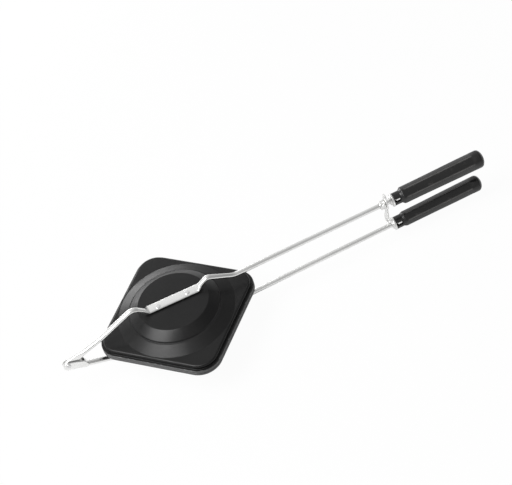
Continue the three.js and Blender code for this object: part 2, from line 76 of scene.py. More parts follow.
def rounded(corners, degrees=9.0):
    """A line through corners (u, v, radius), each replaced by the arc that touches both of its sides:
    its centre lies on the corner's bisector, at radius / sin(half the angle). Returns the points and
    how sharply each one bends to the left, in radians per millimetre."""
    points, bend = [], []
    for i, (u, v, r) in enumerate(corners):
        here = np.array((u, v), float)
        if r == 0:
            points.append(here[None])
            bend.append(np.zeros(1))
            continue
        back = np.array(corners[i - 1][:2], float) - here
        on = np.array(corners[i + 1][:2], float) - here
        back /= np.linalg.norm(back)
        on /= np.linalg.norm(on)
        half = math.acos(np.clip(back @ on, -1, 1)) / 2
        middle = (back + on) / np.linalg.norm(back + on)
        centre = here + middle * r / math.sin(half)
        start = here + back * r / math.tan(half) - centre
        sweep = math.pi - 2 * half
        left = np.sign(-back[0] * on[1] + back[1] * on[0])
        steps = max(2, math.ceil(math.degrees(sweep) / degrees))
        turn = left * np.linspace(0, sweep, steps + 1)
        points.append(centre + np.stack((
            start[0] * np.cos(turn) - start[1] * np.sin(turn),
            start[0] * np.sin(turn) + start[1] * np.cos(turn)), 1))
        bend.append(np.full(steps + 1, left / r))
    return np.concatenate(points), np.concatenate(bend)


def shape(name, points, faces, values):
    """An object from points in millimetres, faces, and a value per point that a material can read."""
    mesh = bpy.data.meshes.new(name)
    mesh.from_pydata((points * MM).tolist(), [], faces)
    mesh.attributes.new("edge", "FLOAT", "POINT").data.foreach_set("value", values)
    piece = bpy.data.objects.new(name, mesh)
    bpy.context.scene.collection.objects.link(piece)
    return piece


def skin(name, rings, loop=False, edge=0.0):
    """A mesh over a grid of points [ring, place round the ring], where each cell is a quad. The last
    ring joins the first one in a loop, or else both are closed by a fan about their middle point."""
    rings = np.asarray(rings, float)
    n, m = rings.shape[:2]
    i, j = np.meshgrid(np.arange(n if loop else n - 1), np.arange(m), indexing="ij")
    on, beside = (i + 1) % n * m, (j + 1) % m
    faces = np.stack((i * m + j, i * m + beside, on + beside, on + j), -1).reshape(-1, 4).tolist()
    points = rings.reshape(-1, 3)
    values = np.broadcast_to(edge, (n, m)).reshape(-1)
    if not loop:
        points = np.concatenate((points, rings[:1].mean(1), rings[-1:].mean(1)))
        values = np.concatenate((values, [0, 0]))
        j = np.arange(m)
        last = (n - 1) * m
        faces += np.stack((np.full(m, n * m), (j + 1) % m, j), 1).tolist()
        faces += np.stack((np.full(m, n * m + 1), last + j, last + (j + 1) % m), 1).tolist()
    return shape(name, points, faces, values)


def outward(piece, sharp=35.0):
    """Turns all faces outwards and keeps the edges sharper than an angle in degrees crisp."""
    bpy.context.view_layer.objects.active = piece
    bpy.ops.object.mode_set(mode="EDIT")
    bpy.ops.mesh.select_all(action="SELECT")
    bpy.ops.mesh.normals_make_consistent(inside=False)
    bpy.ops.object.mode_set(mode="OBJECT")
    piece.data.shade_smooth()
    piece.data.set_sharp_from_angle(angle=math.radians(sharp))
    return piece


# The outline of a corner-on square with round corners is its core square moved outwards.
quarter_core = np.array([(1, 0), (1, 0.25), (1, 0.5), (1, 0.75)] + [(1, 1)] * 16
                        + [(0.75, 1), (0.5, 1), (0.25, 1)]) * (PAN_HALF - CORNER_R)
sweep = np.linspace(0, math.pi / 2, 16)
quarter_out = np.concatenate(([(1, 0)] * 4, np.stack((np.cos(sweep), np.sin(sweep)), 1), [(0, 1)] * 3))
turns = [math.radians(45 + 90 * k) for k in range(4)]
spin = [np.array(((math.cos(t), math.sin(t)), (-math.sin(t), math.cos(t)))) for t in turns]
core = np.concatenate([quarter_core @ s for s in spin])
out = np.concatenate([quarter_out @ s for s in spin])
rim_line = core + CORNER_R * out
bearing = np.arctan2(rim_line[:, 1], rim_line[:, 0])
spoke = np.stack((np.cos(bearing), np.sin(bearing)), 1)


def square_rings(section):
    """Rings of the corner-on square: core + (distance from the middle - core's half side) * outward."""
    flat = core[None] + (section[:, :1, None] - (PAN_HALF - CORNER_R)) * out[None]
    return np.concatenate((flat, np.broadcast_to(section[:, 1, None, None], flat.shape[:2] + (1,))), 2)


def round_rings(section):
    """Rings of radius u at height v, with a point at each bearing of the square's points."""
    flat = section[:, :1, None] * spoke[None]
    return np.concatenate((flat, np.broadcast_to(section[:, 1, None, None], flat.shape[:2] + (1,))), 2)


def lifted(rings, side):
    """Puts rings that are drawn about the seam into the frame, and turns the lower half over."""
    return rings * (1, side, side) + (0, 0, SEAM_MM)


def pan(name, side):
    """The pan's section, from the middle of the bowl out over the rim and back to the disc's middle. The
    rim is rolled to a bead that is as wide as it is high, and stops a hair short of the seam."""
    t = SHEET
    bowl, bowl_bend = rounded([
        (0, DISC_Z - t, 0), (DISC_R - 0.9, DISC_Z - t, 2.4), (STEP_R - 1.0, STEP_Z - t - 0.2, 2.0),
        (LEDGE_R - 0.8, LEDGE_Z - t, 1.5), (FOOT_R - 0.9, FLANGE_Z - t, 1.5), (FOOT_R, FLANGE_Z - t, 0)])
    rim, rim_bend = rounded([
        (PAN_HALF - 6.0, FLANGE_Z - t, 0), (PAN_HALF - WALL_IN, FLANGE_Z - t - 0.2, 1.0),
        (PAN_HALF - WALL_IN, SEAM_GAP, 0.4), (PAN_HALF, SEAM_GAP, 0.45), (PAN_HALF, ROLL, 0.6),
        (PAN_HALF - ROLL, ROLL, 0.4), (PAN_HALF - 3.0, FLANGE_Z - 0.3, 1.9),
        (PAN_HALF - 5.6, FLANGE_Z - 0.1, 0)])
    dome, dome_bend = rounded([
        (FOOT_R + 1.0, FLANGE_Z, 0), (FOOT_R, FLANGE_Z, 2.5), (LEDGE_R, LEDGE_Z, 0.7),
        (STEP_R + 0.6, LEDGE_Z + 0.35, 0.5), (STEP_R, STEP_Z, 0.8), (DISC_R, DISC_Z, 1.4), (0, DISC_Z, 0)])
    rings = np.concatenate((round_rings(bowl[1:]), square_rings(rim), round_rings(dome[:-1])))
    inside = np.zeros(len(bowl) - 1)
    rubbed = np.concatenate((inside, np.clip(rim_bend, 0, 1) * RIM_WEAR,
                             np.clip(dome_bend[:-1], 0, 1) * STEP_WEAR))
    lip = np.concatenate((inside, rim[:, 0] > PAN_HALF - LIP_WIDE, np.zeros(len(dome) - 1)))
    made = skin(name, lifted(rings, side), edge=rubbed[:, None])
    values = np.concatenate((np.repeat(lip, rings.shape[1]), (0, 0)))
    made.data.attributes.new("lip", "FLOAT", "POINT").data.foreach_set("value", values)
    return made


upper_pan = pan("pan_upper", 1)
lower_pan = pan("pan_lower", -1)


def node_group(name, inputs, outputs):
    """An empty shader node group with float or vector sockets, and its two end nodes."""
    group = bpy.data.node_groups.new(name, "ShaderNodeTree")
    for label, kind, value in inputs:
        made = group.interface.new_socket(label, in_out="INPUT", socket_type="NodeSocket" + kind)
        if value is not None:
            made.default_value = value
    for label, kind in outputs:
        group.interface.new_socket(label, in_out="OUTPUT", socket_type="NodeSocket" + kind)
    return group, group.nodes.new("NodeGroupInput"), group.nodes.new("NodeGroupOutput")


def feed(tree, made, values):
    """Sets the input sockets of a node by name, or links them where the value is itself a socket."""
    for key, value in values.items():
        if isinstance(value, bpy.types.NodeSocket):
            tree.links.new(value, made.inputs[key])
        else:
            made.inputs[key].default_value = value


def node(tree, kind, values=None, **settings):
    """A node of a kind, with its settings and its input sockets."""
    made = tree.nodes.new("ShaderNode" + kind)
    for key, value in settings.items():
        setattr(made, key, value)
    feed(tree, made, values or {})
    return made


def tone(tree, value, low, high, to_low=0.0, to_high=1.0):
    """A value stretched from one range to another and held inside it."""
    return node(tree, "MapRange", {"Value": value, "From Min": low, "From Max": high,
                                   "To Min": to_low, "To Max": to_high}).outputs["Result"]


def maths(tree, operation, one, two):
    """One sum of two values."""
    return node(tree, "Math", {0: one, 1: two}, operation=operation).outputs[0]


def times(tree, one, two):
    """The product of two values."""
    return maths(tree, "MULTIPLY", one, two)


def noise(tree, place, scale, detail, roughness=0.5, distortion=0.0):
    """A cloudy value between 0 and 1. The scale is in clouds per metre."""
    return node(tree, "TexNoise", {"Vector": place, "Scale": scale, "Detail": detail, "Roughness": roughness,
                                   "Distortion": distortion}).outputs["Fac"]


def mixed(tree, share, one, two):
    """A colour that goes from one to the other as the share goes from 0 to 1."""
    return node(tree, "Mix", {"Factor": share, "A": one, "B": two}, data_type="RGBA").outputs["Result"]


# Wear on edges: the piece's own edge value, broken up by a cloudy noise.
rubbed_edge, ends_in, ends_out = node_group(
    "rubbed_edge",
    [("Place", "Vector", None), ("Edge", "Float", 0.0), ("Scale", "Float", 200.0), ("Amount", "Float", 0.5)],
    [("Mask", "Float")])
patches = noise(rubbed_edge, ends_in.outputs["Place"], ends_in.outputs["Scale"], 6.0, 0.65)
worn = times(rubbed_edge, ends_in.outputs["Edge"], ends_in.outputs["Amount"])
worn = maths(rubbed_edge, "ADD", worn, patches)
rubbed_edge.links.new(tone(rubbed_edge, worn, 0.88, 1.15), ends_out.inputs["Mask"])

# Marks of use: long thin scratches in three directions, and broad smears that change the gloss.
use_marks, ends_in, ends_out = node_group(
    "use_marks",
    [("Place", "Vector", None), ("Scale", "Float", 60.0)],
    [("Scratches", "Float"), ("Smears", "Float")])
lines = []
for turn in (0.45, -0.8, 1.9):
    spun = node(use_marks, "Mapping", {"Vector": ends_in.outputs["Place"], "Rotation": (0.1, 0.0, turn),
                                       "Scale": (1.0, 28.0, 28.0)})
    fine = noise(use_marks, spun.outputs[0], ends_in.outputs["Scale"], 2.0)
    lines.append(tone(use_marks, fine, 0.69, 0.74))
scratches = maths(use_marks, "MAXIMUM", maths(use_marks, "MAXIMUM", lines[0], lines[1]), lines[2])
smear = noise(use_marks, ends_in.outputs["Place"], 22.0, 5.0, 0.6, 0.6)
use_marks.links.new(scratches, ends_out.inputs["Scratches"])
use_marks.links.new(tone(use_marks, smear, 0.35, 0.68), ends_out.inputs["Smears"])


def material(name):
    """A new material with a Principled shader, and the object's own coordinates."""
    made = bpy.data.materials.new(name)
    made.use_nodes = True
    tree = made.node_tree
    shader = tree.nodes["Principled BSDF"]
    place = node(tree, "TexCoord").outputs["Object"]
    return made, tree, shader, place


def placed(tree, group, **values):
    """A shader node group placed in a material. Returns what it puts out."""
    made = tree.nodes.new("ShaderNodeGroup")
    made.node_tree = group
    feed(tree, made, values)
    return made.outputs


def dress(tree, shader, colour, gloss, bumps, strength, depth):
    """Gives a shader its colour, its roughness and its fine relief."""
    relief = node(tree, "Bump", {"Height": bumps, "Strength": strength, "Distance": depth})
    tree.links.new(colour, shader.inputs["Base Color"])
    tree.links.new(gloss, shader.inputs["Roughness"])
    tree.links.new(relief.outputs[0], shader.inputs["Normal"])


def finish_with(piece, made, body, slot, *nodes):
    """Gives a piece its material and the body that it rides on, and hides the nodes that it stands for. The
    slot is not used.
    """
    piece.data.materials.clear()
    piece.data.materials.append(made)
    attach(piece, body)
    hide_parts(*nodes)


# The coating: near black, sprayed on in fine droplets, with grey speckle and bare metal on rubbed edges.
coating, tree, shader, place = material("pan_coating")
edge = node(tree, "Attribute", attribute_name="edge").outputs["Fac"]
lip = node(tree, "Attribute", attribute_name="lip").outputs["Fac"]
rubbed = placed(tree, rubbed_edge, Place=place, Edge=edge, Scale=260.0, Amount=0.42)["Mask"]
marks = placed(tree, use_marks, Place=place, Scale=46.0)
droplets = noise(tree, place, 2100.0, 3.0)
cloud = noise(tree, place, 34.0, 4.0)
speck = node(tree, "TexVoronoi", {"Vector": place, "Scale": 900.0}, feature="F1").outputs["Distance"]
speck = tone(tree, speck, 0.12, 0.2, 1.0, 0.0)
thin = times(tree, lip, tone(tree, cloud, 0.3, 0.55, 0.75, 1.0))
black = mixed(tree, tone(tree, cloud, 0.35, 0.7), (0.0032, 0.0032, 0.0034, 1), (0.0058, 0.0057, 0.0056, 1))
speckled = mixed(tree, times(tree, speck, 0.35), black, (0.03, 0.03, 0.031, 1))
bared = mixed(tree, rubbed, speckled, (0.3, 0.3, 0.3, 1))
trimmed = mixed(tree, thin, bared, (0.1, 0.1, 0.1, 1))
smeared = tone(tree, marks["Smears"], 0, 1, 0.3, 0.42)
gloss = maths(tree, "ADD", smeared, times(tree, marks["Scratches"], 0.12))
bumps = maths(tree, "ADD", times(tree, droplets, 0.5), times(tree, marks["Scratches"], -0.35))
dress(tree, shader, trimmed, gloss, bumps, 0.35, 0.00012)
bare = maths(tree, "MAXIMUM", times(tree, rubbed, 0.8), times(tree, thin, 0.6))
tree.links.new(bare, shader.inputs["Metallic"])
shader.inputs["IOR"].default_value = 1.36

for piece, body, name in ((upper_pan, "upper_half", "upper_pan"), (lower_pan, "lower_half", "lower_pan")):
    outward(piece, 60)
    finish_with(piece, coating, body, "pan_coating", name)

# The handle wires.
# Two rods of 5 mm steel wire, nickel plated after bending. Each is pressed flat where it is riveted
# across its disc. At the hinge the upper one is flattened to an eye, and the lower one is split and
# spread to a fork round it.
WIRE_R = 2.5
ROD_X, ROD_Z, ROD_LEAN = 65.4, 18.1, math.tan(math.radians(0.4))
FRONT_CREST, REAR_CREST = (39.3, 32.4, 5), (-40.8, 36.8, 9)
FLAT_FRONT_X, FLAT_REAR_X = 26.6, -26.5
FLAT_Z, FLAT_HALF, FLAT_THICK = DISC_Z + 1.6, 5.2, 1.3
FLAT_REACH, FLAT_RISE, FLAT_EASE = 36, 3.2, 1.2
FLAT_SHIFT, FLAT_YAW = 0.9, 0.031
WIDER, LOWER, WIDER_FROM, WIDER_STEP = 0.5, 0.2, 64, 24
HINGE_X, HINGE_SLOPE = -120.2, math.radians(18.6)
REAR_BEND_X, REAR_BEND_Z, HINGE_LIFT = -78.0, 16.7, 2.45
HINGE_DROP = (REAR_BEND_X - HINGE_X) * math.tan(HINGE_SLOPE)
HINGE_Z = REAR_BEND_Z + HINGE_LIFT - HINGE_DROP
EYE_R, EYE_HALF, EYE_EASE = 4.1, 1.5, 0.7
TONGUE_FROM, TONGUE_STEP, FINE_FROM = 22, 12, 30
PIN_R, PIN_BORE_R = 1.5, 1.8
FORK_R, FORK_HALF, FORK_GAP, FORK_LENGTH = 5.0, 3.25, 1.95, 21.0
WIRE_IN_GRIP = 55.0


def rod_z(x):
    """Height of a rod above the seam: it falls a little from the pan towards the grip."""
    return ROD_Z - (x - ROD_X) * ROD_LEAN


def soft(t):
    """A smooth step from 0 to 1: 3 t squared minus 2 t cubed."""
    t = np.clip(t, 0, 1)
    return t * t * (3 - 2 * t)


def wire(end_x, lift, stop_x):
    """The wire as a section carried along its bent line. The section is a rectangle of half width a and
    half height b with corners of radius r, which is a circle when all three agree. From the front bend
    on it is a little wider than high, and it widens to the flat over the disc. A wire that isn't stopped
    short narrows to a tongue, which ends round the pin: its half height is there the root of the eye's
    radius squared minus the distance squared."""
    slope = math.tan(HINGE_SLOPE)
    hinge_end = HINGE_X - EYE_R * math.cos(HINGE_SLOPE) if stop_x is None else stop_x
    line, _ = rounded([
        (end_x, rod_z(end_x), 0), (ROD_X, ROD_Z, 14), FRONT_CREST, (FLAT_FRONT_X, FLAT_Z, 3.5),
        (FLAT_REAR_X, FLAT_Z, 3.5), REAR_CREST, (REAR_BEND_X, REAR_BEND_Z + lift, 18),
        (hinge_end, REAR_BEND_Z + lift + (hinge_end - REAR_BEND_X) * slope, 0)], 4)
    gaps = np.linalg.norm(np.diff(line, axis=0), axis=1)
    length = np.concatenate(([0], np.cumsum(gaps)))
    total = length[-1]
    extra = np.arange(0, total - FINE_FROM, 2.5)
    if stop_x is None:
        to_pin = EYE_R * np.sin(np.linspace(-math.pi / 2, math.pi / 2, 25))[:-1]
        fine = np.linspace(total - FINE_FROM, total - 2 * EYE_R, 30)
        extra = np.concatenate((extra, fine, total - EYE_R + to_pin, [total - 0.002]))
    stops = np.unique(np.concatenate((length, extra)).round(4))
    x, z = np.interp(stops, length, line[:, 0]), np.interp(stops, length, line[:, 1])
    dx, dz = np.gradient(x, stops), np.gradient(z, stops)
    ahead = np.hypot(dx, dz)
    dx, dz = dx / ahead, dz / ahead
    over = np.where(np.abs(x) < FLAT_REACH, soft(1 - (z - FLAT_Z) / FLAT_RISE), 0)
    pressed = soft((WIDER_FROM - x) / WIDER_STEP)
    a, b = WIRE_R + WIDER * pressed, WIRE_R - LOWER * pressed
    a, b, r = a + (FLAT_HALF - a) * over, b + (FLAT_THICK - b) * over, b + (FLAT_EASE - b) * over
    if stop_x is None:
        to_hinge = total - EYE_R - stops
        near = soft((TONGUE_FROM - to_hinge) / TONGUE_STEP)
        a = a + (EYE_HALF - a) * near
        b = b + (EYE_R - b) * near
        b = np.where(to_hinge < 0, np.sqrt(np.clip(EYE_R ** 2 - to_hinge ** 2, 0.0004, None)), b)
        r = np.minimum(r + (EYE_EASE - r) * near, np.minimum(a, b) * 0.98)
    angle = np.radians(np.concatenate([q * 90 + np.linspace(3, 87, 8) for q in range(4)]))
    y = np.sign(np.cos(angle)) * (a - r)[:, None] + r[:, None] * np.cos(angle)
    y = y + (over * (FLAT_SHIFT - FLAT_YAW * x))[:, None]
    n = np.sign(np.sin(angle)) * (b - r)[:, None] + r[:, None] * np.sin(angle)
    rings = np.stack((x[:, None] - dz[:, None] * n, y, z[:, None] + dx[:, None] * n), 2)
    return rings, over


def lathe(name, profile, base, direction, sides=48, loop=False):
    """Points (radius, height) turned about an axis that starts at base and runs along direction."""
    profile = np.asarray(profile, float)
    axis = Vector(direction).normalized()
    cross = axis.orthogonal().normalized()
    third = axis.cross(cross)
    turn = np.linspace(0, 2 * math.pi, sides, endpoint=False)
    ring = np.cos(turn)[:, None] * np.array(cross) + np.sin(turn)[:, None] * np.array(third)
    points = np.array(base) + profile[:, 0, None, None] * ring + profile[:, 1, None, None] * np.array(axis)
    return skin(name, points, loop)


def slab(name, outline, low, high, axis=1):
    """An outline given its thickness along one axis, 0 for x or 1 for y, between two places on it. The
    outline's two values are the other two coordinates."""
    n = len(outline)
    points = np.concatenate([np.insert(np.asarray(outline, float), axis, at, axis=1) for at in (low, high)])
    i = np.arange(n)
    on = (i + 1) % n
    faces = [i[::-1].tolist(), (i + n).tolist()] + np.stack((i, on, on + n, i + n), 1).tolist()
    return shape(name, points, faces, np.zeros(2 * n))


def cushion(name, outline, half, ease, steps=4):
    """An outline in x and z given a thickness along y, with its edges rounded to a radius: at an angle t
    round the edge the ring lies ease * (1 - cos t) inside the outline and ease * (1 - sin t) below
    its side."""
    before, after = outline - np.roll(outline, 1, 0), np.roll(outline, -1, 0) - outline
    before /= np.linalg.norm(before, axis=1)[:, None]
    after /= np.linalg.norm(after, axis=1)[:, None]
    inward = (before + after)[:, ::-1] * (-1, 1)
    inward /= (1 + (before * after).sum(1))[:, None]
    turn = outline - outline.mean(0)
    inward *= -np.sign((inward * turn).sum())
    t = np.linspace(0, math.pi / 2, steps + 1)
    inset, side = ease * (1 - np.cos(t)), half - ease * (1 - np.sin(t))
    inset, side = np.concatenate((inset[::-1], inset)), np.concatenate((-side[::-1], side))
    flat = outline[None] + inset[:, None, None] * inward[None]
    return skin(name, np.insert(flat, 1, side[:, None], axis=2))


def cut(piece, *tools, operation="DIFFERENCE"):
    """Takes the tools' shapes out of a piece, or joins them to it, and removes them."""
    for tool in tools:
        outward(tool)
    outward(piece)
    for tool in tools:
        made = piece.modifiers.new("cut", "BOOLEAN")
        made.operation, made.solver, made.object = operation, "EXACT", tool
        bpy.context.view_layer.objects.active = piece
        bpy.ops.object.modifier_apply(modifier=made.name)
        bpy.data.objects.remove(tool)
    return outward(piece)


def hinge_bore():
    """The hole for the hinge pin."""
    return lathe("bore", [(PIN_BORE_R, -6), (PIN_BORE_R, 6)], (HINGE_X, 0, SEAM_MM + HINGE_Z), (0, 1, 0))


def at_hinge(outline):
    """An outline drawn about the pin, with u along the lower wire and v down from it, set in its place."""
    along = np.array((math.cos(HINGE_SLOPE), -math.sin(HINGE_SLOPE)))
    down = np.array((-math.sin(HINGE_SLOPE), -math.cos(HINGE_SLOPE)))
    return np.array((HINGE_X, SEAM_MM + HINGE_Z)) + outline[:, :1] * along + outline[:, 1:] * down


UPPER_NECK_X, LOWER_NECK_X = 244.5, 240.8
rings, over = wire(UPPER_NECK_X + WIRE_IN_GRIP, HINGE_LIFT, None)
upper_wire = skin("wire_upper", lifted(rings, 1), edge=over[:, None])
cut(upper_wire, hinge_bore())

# The fork is a cushion round the pin's end of the lower wire, and its mouth is cut out between the cheeks.
fork, _ = rounded([
    (0.5, 6, 0), (-FORK_R, 6, 4.95), (-FORK_R, -4, 4.85), (6.6, -3.7, 14), (17, -2.2, 3),
    (FORK_LENGTH, 2.4, 1.2), (FORK_LENGTH, 6.9, 1.2), (13, 6.3, 20), (0.5, 6, 0)], 6)
mouth, _ = rounded([(-9, -12, 0), (18.5, -12, 0), (16.5, 1.8, 1.5), (7, 4.5, 2), (5.6, 12, 0), (-9, 12, 0)])
fork_end_x = HINGE_X + (FORK_LENGTH - 4) * math.cos(HINGE_SLOPE)
rings, over = wire(LOWER_NECK_X + WIRE_IN_GRIP, -HINGE_LIFT, fork_end_x)
lower_wire = skin("wire_lower", lifted(rings, -1), edge=over[:, None])
cut(lower_wire, cushion("trough", at_hinge(fork[:-1]), FORK_HALF, 0.9), operation="UNION")
cut(lower_wire, slab("mouth", at_hinge(mouth), -FORK_GAP, FORK_GAP), hinge_bore())

# Plated metal: bright nickel with a faint drawn grain along the rod, fine scratches and dull spots.
plating, tree, shader, place = material("plated_wire")
marks = placed(tree, use_marks, Place=place, Scale=90.0)
drawn = node(tree, "Mapping", {"Vector": place, "Scale": (0.02, 1.0, 1.0)})
grain = noise(tree, drawn.outputs[0], 4200.0, 2.0)
spots = tone(tree, noise(tree, place, 420.0, 5.0, 0.7), 0.62, 0.76)
bright = mixed(tree, marks["Smears"], (0.78, 0.78, 0.77, 1), (0.86, 0.86, 0.85, 1))
dulled = mixed(tree, times(tree, spots, 0.5), bright, (0.42, 0.4, 0.37, 1))
gloss = maths(tree, "ADD", tone(tree, marks["Smears"], 0, 1, 0.16, 0.26), times(tree, spots, 0.25))
bumps = maths(tree, "ADD", times(tree, grain, 0.3), times(tree, marks["Scratches"], -0.4))
dress(tree, shader, dulled, gloss, bumps, 0.2, 0.00006)
shader.inputs["Metallic"].default_value = 1.0

finish_with(upper_wire, plating, "upper_half", "plated_wire", "upper_wire")
finish_with(lower_wire, plating, "lower_half", "plated_wire", "lower_wire")

# The rivets and the hinge pin.
# Soft steel rivets go through the flats and the discs: the broad made head is inside the bowl, and the
# other end is hammered low over the flat. The hinge pin has a domed head on both sides of the fork.
RIVET_X, RIVET_R, RIVET_HEAD_R, RIVET_TAIL_R = 16.0, 1.7, 4.0, 2.6
PIN_HEAD_R, PIN_HEAD_HIGH = 2.4, 1.2
TIP_R = 0.02  # where a turned profile ends beside its axis


def domed(radius, height, lip=0.3, steps=7):
    """The profile of a low head, from its middle to its rim: a quarter of an ellipse over a short lip."""
    t = np.linspace(0, math.pi / 2, steps)
    return np.stack((radius * np.sin(t), lip + (height - lip) * np.cos(t)), 1)


def rivet(name, x, side):
    """A shank with a broad low head inside the pan and a small one over the flat."""
    inside, outside = DISC_Z - SHEET, FLAT_Z + FLAT_THICK
    under = domed(RIVET_HEAD_R, 1.5) * (1, -1) + (0, inside)
    tail, _ = rounded([(RIVET_TAIL_R, outside, 0), (RIVET_TAIL_R, outside + 0.6, 0.35),
                       (0, outside + 0.7, 0)])
    shank = [(RIVET_HEAD_R, inside), (RIVET_R, inside), (RIVET_R, outside)]
    profile = np.concatenate((under, shank, tail))
    profile[[0, -1], 0] = TIP_R
    return lathe(name, profile, (x, 0, SEAM_MM), (0, 0, side), 40)


upset_metal, tree, shader, place = material("rivet_metal")
marks = placed(tree, use_marks, Place=place, Scale=300.0)
hammered = noise(tree, place, 900.0, 3.0)
shade = mixed(tree, hammered, (0.66, 0.66, 0.66, 1), (0.8, 0.8, 0.8, 1))
dress(tree, shader, shade, tone(tree, marks["Smears"], 0, 1, 0.26, 0.4), hammered, 0.35, 0.00015)
shader.inputs["Metallic"].default_value = 1.0

for half, side in (("upper", 1), ("lower", -1)):
    for end, x in (("front", RIVET_X), ("rear", -RIVET_X)):
        piece = outward(rivet("rivet_%s_%s" % (half, end), x, side))
        finish_with(piece, upset_metal, half + "_half", "rivet_metal", "%s_rivet_%s" % (half, end))

under_head = FORK_HALF + 0.02
head = domed(PIN_HEAD_R, PIN_HEAD_HIGH)
shank = [(PIN_HEAD_R, -under_head), (PIN_R, -under_head), (PIN_R, under_head), (PIN_HEAD_R, under_head)]
profile = np.concatenate((head * (1, -1) + (0, -under_head), shank, head[::-1] + (0, under_head)))
profile[[0, -1], 0] = TIP_R
hinge_pin = outward(lathe("hinge_pin_turned", profile, (HINGE_X, 0, SEAM_MM + HINGE_Z), (0, 1, 0), 40))
finish_with(hinge_pin, upset_metal, "lower_half", "rivet_metal", "hinge_pin")

# The grips.
# Black phenolic mouldings, six-sided with soft corners, on a round neck with a slot through it. They
# swell a little towards the end, which flares to a round rim and takes a plugged-in cap.
GRIP_TURN = math.radians(23)
NECK_R, NECK_LENGTH = 6.6, 7.5
APOTHEM, END_APOTHEM, END_R = 7.7, 8.1, 9.0
GRIP_CORNER, FLARE = 3.2, 9.5
CAP_BACK, CAP_HIGH, CAP_SEAM = 1.5, 4.0, 0.3
GRIP_LIFT, LIFT_FROM, LIFT_OVER = 0.75, 5, 80
SHOULDER, FRONT_EASE = 3.2, 0.6
SLOT_HALF, SLOT_END = 2.0, 7.2
BORE_R, SOCKET_R = 2.8, 4.7


def on_rod(points, x, side, turn=GRIP_TURN):
    """Moves points that are drawn along +X from a neck on to a rod: turned about the rod, leaning with
    it, and lifted to it. The moulding runs a little above the rod's middle towards its end."""
    roll = Matrix.Rotation(-turn, 3, "X")
    lean = Matrix.Rotation(side * math.atan(ROD_LEAN), 3, "Y")
    both = np.array(lean @ roll)
    lift = GRIP_LIFT * np.clip((points[..., :1] - LIFT_FROM) / LIFT_OVER, 0, 1)
    return points @ both.T + (x, 0, side * rod_z(x) + SEAM_MM) + lift * (0, 0, 1)


def along_rod(at, x, side, turn=GRIP_TURN):
    """A place along a rod, at a distance from a neck, and the direction of the rod there."""
    base, tip = on_rod(np.array([(at, 0, 0), (at + 1.0, 0, 0)]), x, side, turn)
    return base, tip - base


def grip_rings(length, girth):
    """Rings of a hexagon of some apothem with corners of some radius, which is a circle when the two
    agree. Both change along the grip by smooth steps, and the end is eased by the cap's dome. Returns
    the rings and how near each point is to a ridge."""
    at = np.concatenate((
        np.linspace(0, 0.8, 5), np.linspace(1.2, NECK_LENGTH - 0.3, 8),
        np.linspace(NECK_LENGTH, NECK_LENGTH + 5, 16), np.linspace(NECK_LENGTH + 6, length - 10, 50),
        np.linspace(length - FLARE, length - 2.8, 16), np.linspace(length - 2.4, length, 10)))
    swell = girth * (APOTHEM + (END_APOTHEM - APOTHEM) * soft((at - 20) / (length - 35)))
    shoulder = soft((at - NECK_LENGTH) / SHOULDER)
    flare = soft((at - (length - FLARE)) / 6)
    apothem = NECK_R + (swell - NECK_R) * shoulder + (END_R * girth - swell) * flare
    corner = apothem + (GRIP_CORNER - apothem) * soft((at - NECK_LENGTH) / 4.2) * (1 - flare)
    first, seam = np.clip(at / 0.7, 0, 1), np.clip((at - length + 0.35) / 0.35, 0, 1)
    dome = np.clip((at - length + CAP_BACK) / (CAP_BACK + CAP_HIGH), 0, 1)
    ease = FRONT_EASE * (1 - np.sqrt(1 - (1 - first) ** 2)) + CAP_SEAM * seam ** 2
    ease = ease + END_R * girth * (1 - np.sqrt(1 - dome ** 2))
    apothem, corner = apothem - ease, corner - ease
    reach = (apothem - corner) / math.cos(math.pi / 6)
    fan = np.linspace(-27, 27, 9)
    turn = np.radians(np.concatenate([60 * k + fan for k in range(6)]))
    axis = np.radians(np.repeat(60 * np.arange(6), len(fan)))
    y = reach[:, None] * np.cos(axis) + corner[:, None] * np.cos(turn)
    z = reach[:, None] * np.sin(axis) + corner[:, None] * np.sin(turn)
    ridge = np.cos(np.radians(np.tile(fan, 6)) * 2) * soft((at - NECK_LENGTH - 2) / 4)[:, None]
    return np.stack((np.broadcast_to(at[:, None], y.shape), y, z), 2), ridge * (1 - flare[:, None])


def arc(u, v, radius, first, last, steps=14):
    """Points on a circle about (u, v), from one angle in degrees to another."""
    t = np.radians(np.linspace(first, last, steps + 1))
    return np.stack((u + radius * np.cos(t), v + radius * np.sin(t)), 1)


def grip(name, x, side, length, girth):
    """The grip with its bore, the slot through its neck and the socket for its cap."""
    rings, ridge = grip_rings(length, girth)
    made = skin(name, on_rod(rings, x, side), edge=ridge)
    round_end = arc(SLOT_END - SLOT_HALF, 0, SLOT_HALF, -90, 90, 12)
    outline = np.concatenate(([(-2, -SLOT_HALF)], round_end, [(-2, SLOT_HALF)]))
    slot = np.stack([np.insert(outline, 1, y, axis=1) for y in (-12, 12)])
    start, end = on_rod(np.array([(-3.0, 0, 0), (length + 3, 0, 0)]), x, side)
    bore = lathe("bore", [(BORE_R, 0), (BORE_R, WIRE_IN_GRIP + 5)], start, end - start)
    socket = lathe("socket", [(SOCKET_R, 0), (SOCKET_R, 12)], end, start - end)
    return cut(made, bore, skin("slot", on_rod(slot, x, side)), socket)


